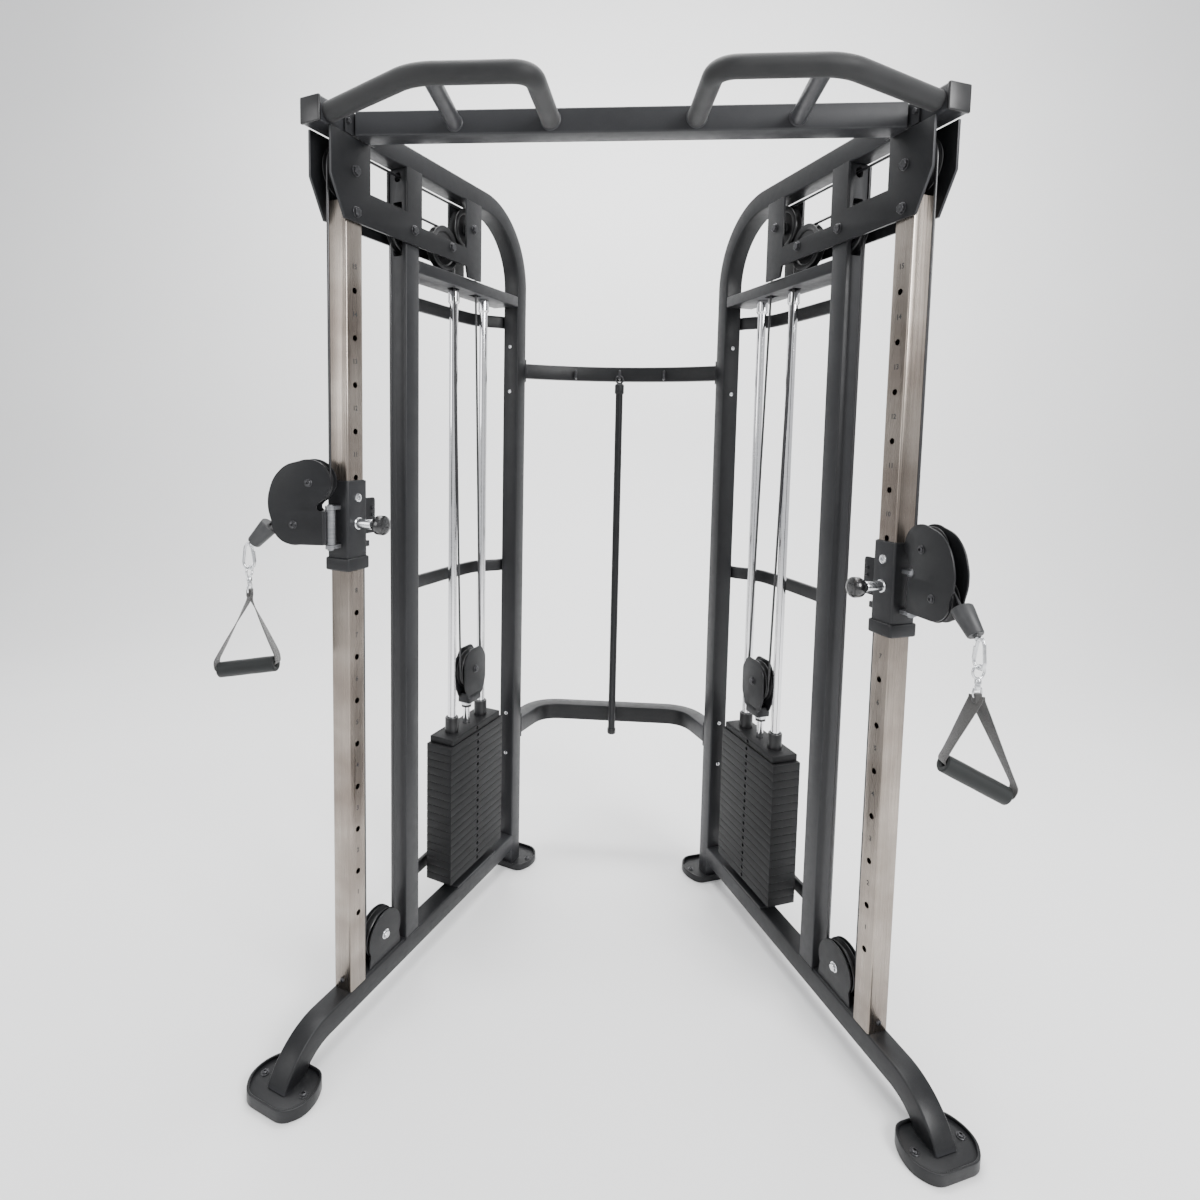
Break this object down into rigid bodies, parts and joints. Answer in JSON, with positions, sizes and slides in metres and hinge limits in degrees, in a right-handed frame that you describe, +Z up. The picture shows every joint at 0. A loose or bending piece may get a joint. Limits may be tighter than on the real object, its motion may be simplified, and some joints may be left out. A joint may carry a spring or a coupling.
{
  "type": "functional trainer",
  "caption": "Dual-tower cable functional trainer with splayed frames, swivel pulley arms, handles, weight stacks and pull-up bars.",
  "frame": {"origin": "centre of the footprint's bounding box, on the floor", "axes": "+Z up, -Y towards the user side (the picture's camera), +X to the right seen from the front"},
  "size_m": [1.6134, 1.111, 2.048],
  "materials": {
    "charcoal_powder_coat": "satin textured powder coat",
    "nickel_tube": "satin nickel plate, brushed along the tube",
    "chrome_rod": "polished",
    "plate_iron": "matt black paint",
    "zinc_hardware": "bright zinc",
    "black_plastic": "moulded nylon",
    "cable_sheath": "smooth nylon sheath",
    "moulded_rubber": "satin",
    "grip_rubber": "foam rubber sleeve",
    "webbing": "woven nylon webbing"
  },
  "bodies": {
    "frame": {"left_base_rail": "charcoal_powder_coat", "left_arch_frame": "charcoal_powder_coat", "left_mid_upright": "charcoal_powder_coat", "left_guide_post": "nickel_tube", "left_rod_header": "charcoal_powder_coat", "left_inner_gusset": "charcoal_powder_coat", "left_outer_gusset": "charcoal_powder_coat", "left_front_guide_rod": "chrome_rod", "left_rear_guide_rod": "chrome_rod", "left_weight_plates": "plate_iron", "left_cable": "cable_sheath", "right_base_rail": "charcoal_powder_coat", "right_arch_frame": "charcoal_powder_coat", "right_mid_upright": "charcoal_powder_coat", "right_guide_post": "nickel_tube", "right_rod_header": "charcoal_powder_coat", "right_inner_gusset": "charcoal_powder_coat", "right_outer_gusset": "charcoal_powder_coat", "right_front_guide_rod": "chrome_rod", "right_rear_guide_rod": "chrome_rod", "right_weight_plates": "plate_iron", "right_cable": "cable_sheath", "top_crossmember": "charcoal_powder_coat", "left_pull_up_bar": "grip_rubber", "right_pull_up_bar": "grip_rubber", "rear_upper_crossmember": "charcoal_powder_coat", "rear_lower_crossmember": "charcoal_powder_coat"},
    "left_stack_head": {"left_head_plate": "plate_iron", "left_pulley_block": "zinc_hardware"},
    "left_stack_wheel": {"left_stack_pulley": "black_plastic"},
    "left_top_front_wheel": {"left_top_front_pulley": "black_plastic"},
    "left_mid_wheel": {"left_mid_pulley": "black_plastic"},
    "left_return_wheel": {"left_return_pulley": "black_plastic"},
    "left_top_rear_wheel": {"left_top_rear_pulley": "black_plastic"},
    "left_low_wheel": {"left_low_pulley": "black_plastic"},
    "left_carriage": {"left_carriage": "charcoal_powder_coat"},
    "left_pop_pin": {"left_pop_pin": "black_plastic"},
    "left_swivel_arm": {"left_swivel_bracket": "charcoal_powder_coat"},
    "left_swivel_wheel_upper": {"left_swivel_pulley_upper": "black_plastic"},
    "left_swivel_wheel_lower": {"left_swivel_pulley_lower": "black_plastic"},
    "left_cable_end": {"left_cable_stop": "moulded_rubber"},
    "left_handle": {"left_handle_strap": "webbing"},
    "left_grip": {"left_handle_grip": "grip_rubber"},
    "right_stack_head": {"right_head_plate": "plate_iron", "right_pulley_block": "zinc_hardware"},
    "right_stack_wheel": {"right_stack_pulley": "black_plastic"},
    "right_top_front_wheel": {"right_top_front_pulley": "black_plastic"},
    "right_mid_wheel": {"right_mid_pulley": "black_plastic"},
    "right_return_wheel": {"right_return_pulley": "black_plastic"},
    "right_top_rear_wheel": {"right_top_rear_pulley": "black_plastic"},
    "right_low_wheel": {"right_low_pulley": "black_plastic"},
    "right_carriage": {"right_carriage": "charcoal_powder_coat"},
    "right_pop_pin": {"right_pop_pin": "black_plastic"},
    "right_swivel_arm": {"right_swivel_bracket": "charcoal_powder_coat"},
    "right_swivel_wheel_upper": {"right_swivel_pulley_upper": "black_plastic"},
    "right_swivel_wheel_lower": {"right_swivel_pulley_lower": "black_plastic"},
    "right_cable_end": {"right_cable_stop": "moulded_rubber"},
    "right_handle": {"right_handle_strap": "webbing"},
    "right_grip": {"right_handle_grip": "grip_rubber"},
    "accessory_bar": {"accessory_bar": "charcoal_powder_coat"}
  },
  "joints": [
    {"name": "left_stack_lift", "type": "slide", "parent": "frame", "child": "left_stack_head", "axis": [0, 0, 1], "range_m": [0, 0.6], "deforming": ["left_cable"]},
    {"name": "left_stack_pulley_turn", "type": "hinge", "parent": "left_stack_head", "child": "left_stack_wheel", "pos_m": [-0.34418, 0.15636, 0.708], "axis": [0.9295, -0.3689, 0], "continuous": true},
    {"name": "left_top_front_pulley_turn", "type": "hinge", "parent": "frame", "child": "left_top_front_wheel", "pos_m": [-0.52205, -0.30529, 1.93], "axis": [0.9295, -0.3689, 0], "continuous": true},
    {"name": "left_mid_pulley_turn", "type": "hinge", "parent": "frame", "child": "left_mid_wheel", "pos_m": [-0.45047, -0.12497, 1.859], "axis": [0.9295, -0.3689, 0], "continuous": true},
    {"name": "left_return_pulley_turn", "type": "hinge", "parent": "frame", "child": "left_return_wheel", "pos_m": [-0.39458, 0.01584, 1.857], "axis": [0.9295, -0.3689, 0], "continuous": true},
    {"name": "left_top_rear_pulley_turn", "type": "hinge", "parent": "frame", "child": "left_top_rear_wheel", "pos_m": [-0.35787, 0.10832, 1.928], "axis": [0.9295, -0.3689, 0], "continuous": true},
    {"name": "left_low_pulley_turn", "type": "hinge", "parent": "frame", "child": "left_low_wheel", "pos_m": [-0.48523, -0.21253, 0.163], "axis": [0.9295, -0.3689, 0], "continuous": true},
    {"name": "left_carriage_slide", "type": "slide", "parent": "frame", "child": "left_carriage", "axis": [0, 0, 1], "range_m": [-0.8, 0.5]},
    {"name": "left_pop_pin_pull", "type": "slide", "parent": "left_carriage", "child": "left_pop_pin", "axis": [0.9295, -0.3689, 0], "range_m": [0, 0.012], "stiffness_N_per_m": 600, "springref_m": -0.004},
    {"name": "left_arm_swivel", "type": "hinge", "parent": "left_carriage", "child": "left_swivel_arm", "pos_m": [-0.54049, -0.35176, 1.183], "axis": [0, 0, 1], "range_deg": [-21.65, 158.35]},
    {"name": "left_swivel_pulley_upper_turn", "type": "hinge", "parent": "left_swivel_arm", "child": "left_swivel_wheel_upper", "pos_m": [-0.58149, -0.35176, 1.273], "axis": [0, 1, 0], "continuous": true},
    {"name": "left_swivel_pulley_lower_turn", "type": "hinge", "parent": "left_swivel_arm", "child": "left_swivel_wheel_lower", "pos_m": [-0.61609, -0.35176, 1.183], "axis": [0, 1, 0], "continuous": true},
    {"name": "left_cable_pull", "type": "slide", "parent": "left_swivel_arm", "child": "left_cable_end", "axis": [-1, 0, 0], "range_m": [0, 1.2]},
    {"name": "left_handle_swing", "type": "hinge", "parent": "left_cable_end", "child": "left_handle", "pos_m": [-0.72349, -0.35176, 1.082], "axis": [-1, 0, 0], "range_deg": [-60, 60]},
    {"name": "left_grip_roll", "type": "hinge", "parent": "left_handle", "child": "left_grip", "pos_m": [-0.73049, -0.35176, 0.863], "axis": [-0.9877, 0, -0.1564], "continuous": true},
    {"name": "right_stack_lift", "type": "slide", "parent": "frame", "child": "right_stack_head", "axis": [0, 0, 1], "range_m": [0, 0.6], "deforming": ["right_cable"]},
    {"name": "right_stack_pulley_turn", "type": "hinge", "parent": "right_stack_head", "child": "right_stack_wheel", "pos_m": [0.47516, 0.15636, 0.708], "axis": [0.9295, 0.3689, 0], "continuous": true},
    {"name": "right_top_front_pulley_turn", "type": "hinge", "parent": "frame", "child": "right_top_front_wheel", "pos_m": [0.65303, -0.30529, 1.93], "axis": [0.9295, 0.3689, 0], "continuous": true},
    {"name": "right_mid_pulley_turn", "type": "hinge", "parent": "frame", "child": "right_mid_wheel", "pos_m": [0.58145, -0.12497, 1.859], "axis": [0.9295, 0.3689, 0], "continuous": true},
    {"name": "right_return_pulley_turn", "type": "hinge", "parent": "frame", "child": "right_return_wheel", "pos_m": [0.52556, 0.01584, 1.857], "axis": [0.9295, 0.3689, 0], "continuous": true},
    {"name": "right_top_rear_pulley_turn", "type": "hinge", "parent": "frame", "child": "right_top_rear_wheel", "pos_m": [0.48885, 0.10832, 1.928], "axis": [0.9295, 0.3689, 0], "continuous": true},
    {"name": "right_low_pulley_turn", "type": "hinge", "parent": "frame", "child": "right_low_wheel", "pos_m": [0.61621, -0.21253, 0.163], "axis": [0.9295, 0.3689, 0], "continuous": true},
    {"name": "right_carriage_slide", "type": "slide", "parent": "frame", "child": "right_carriage", "axis": [0, 0, 1], "range_m": [-0.7, 0.6]},
    {"name": "right_pop_pin_pull", "type": "slide", "parent": "right_carriage", "child": "right_pop_pin", "axis": [-0.9295, -0.3689, 0], "range_m": [0, 0.012], "stiffness_N_per_m": 600, "springref_m": -0.004},
    {"name": "right_arm_swivel", "type": "hinge", "parent": "right_carriage", "child": "right_swivel_arm", "pos_m": [0.67147, -0.35176, 1.083], "axis": [0, 0, 1], "range_deg": [-84.35, 95.65]},
    {"name": "right_swivel_pulley_upper_turn", "type": "hinge", "parent": "right_swivel_arm", "child": "right_swivel_wheel_upper", "pos_m": [0.68277, -0.39117, 1.173], "axis": [-0.9613, -0.2756, 0], "continuous": true},
    {"name": "right_swivel_pulley_lower_turn", "type": "hinge", "parent": "right_swivel_arm", "child": "right_swivel_wheel_lower", "pos_m": [0.69231, -0.42443, 1.083], "axis": [-0.9613, -0.2756, 0], "continuous": true},
    {"name": "right_cable_pull", "type": "slide", "parent": "right_swivel_arm", "child": "right_cable_end", "axis": [0.2756, -0.9613, 0], "range_m": [0, 1.2]},
    {"name": "right_handle_swing", "type": "hinge", "parent": "right_cable_end", "child": "right_handle", "pos_m": [0.72191, -0.52767, 0.982], "axis": [0.2756, -0.9613, 0], "range_deg": [-60, 60]},
    {"name": "right_grip_roll", "type": "hinge", "parent": "right_handle", "child": "right_grip", "pos_m": [0.72384, -0.5344, 0.781], "axis": [-0.8898, -0.0466, 0.454], "continuous": true},
    {"name": "accessory_bar_swing", "type": "hinge", "parent": "frame", "child": "accessory_bar", "pos_m": [0.06549, 0.44749, 1.566], "axis": [1, 0, 0], "range_deg": [-20, 1.5]}
  ],
  "couplings": [
    {"joint": "left_stack_pulley_turn", "follows": "left_stack_lift", "rad_per_m": 20},
    {"joint": "left_top_front_pulley_turn", "follows": "left_stack_lift", "rad_per_m": 40},
    {"joint": "left_mid_pulley_turn", "follows": "left_carriage_slide", "rad_per_m": 20},
    {"joint": "left_return_pulley_turn", "follows": "left_carriage_slide", "rad_per_m": 20},
    {"joint": "left_top_rear_pulley_turn", "follows": "left_stack_lift", "rad_per_m": 40},
    {"joint": "left_low_pulley_turn", "follows": "left_carriage_slide", "rad_per_m": -20},
    {"joint": "left_swivel_pulley_upper_turn", "follows": "left_stack_lift", "rad_per_m": 48.781},
    {"joint": "left_swivel_pulley_lower_turn", "follows": "left_stack_lift", "rad_per_m": -48.781},
    {"joint": "left_cable_pull", "follows": "left_stack_lift", "ratio": 2},
    {"joint": "right_stack_pulley_turn", "follows": "right_stack_lift", "rad_per_m": 20},
    {"joint": "right_top_front_pulley_turn", "follows": "right_stack_lift", "rad_per_m": 40},
    {"joint": "right_mid_pulley_turn", "follows": "right_carriage_slide", "rad_per_m": 20},
    {"joint": "right_return_pulley_turn", "follows": "right_carriage_slide", "rad_per_m": 20},
    {"joint": "right_top_rear_pulley_turn", "follows": "right_stack_lift", "rad_per_m": 40},
    {"joint": "right_low_pulley_turn", "follows": "right_carriage_slide", "rad_per_m": -20},
    {"joint": "right_swivel_pulley_upper_turn", "follows": "right_stack_lift", "rad_per_m": 48.781},
    {"joint": "right_swivel_pulley_lower_turn", "follows": "right_stack_lift", "rad_per_m": -48.781},
    {"joint": "right_cable_pull", "follows": "right_stack_lift", "ratio": 2}
  ]
}
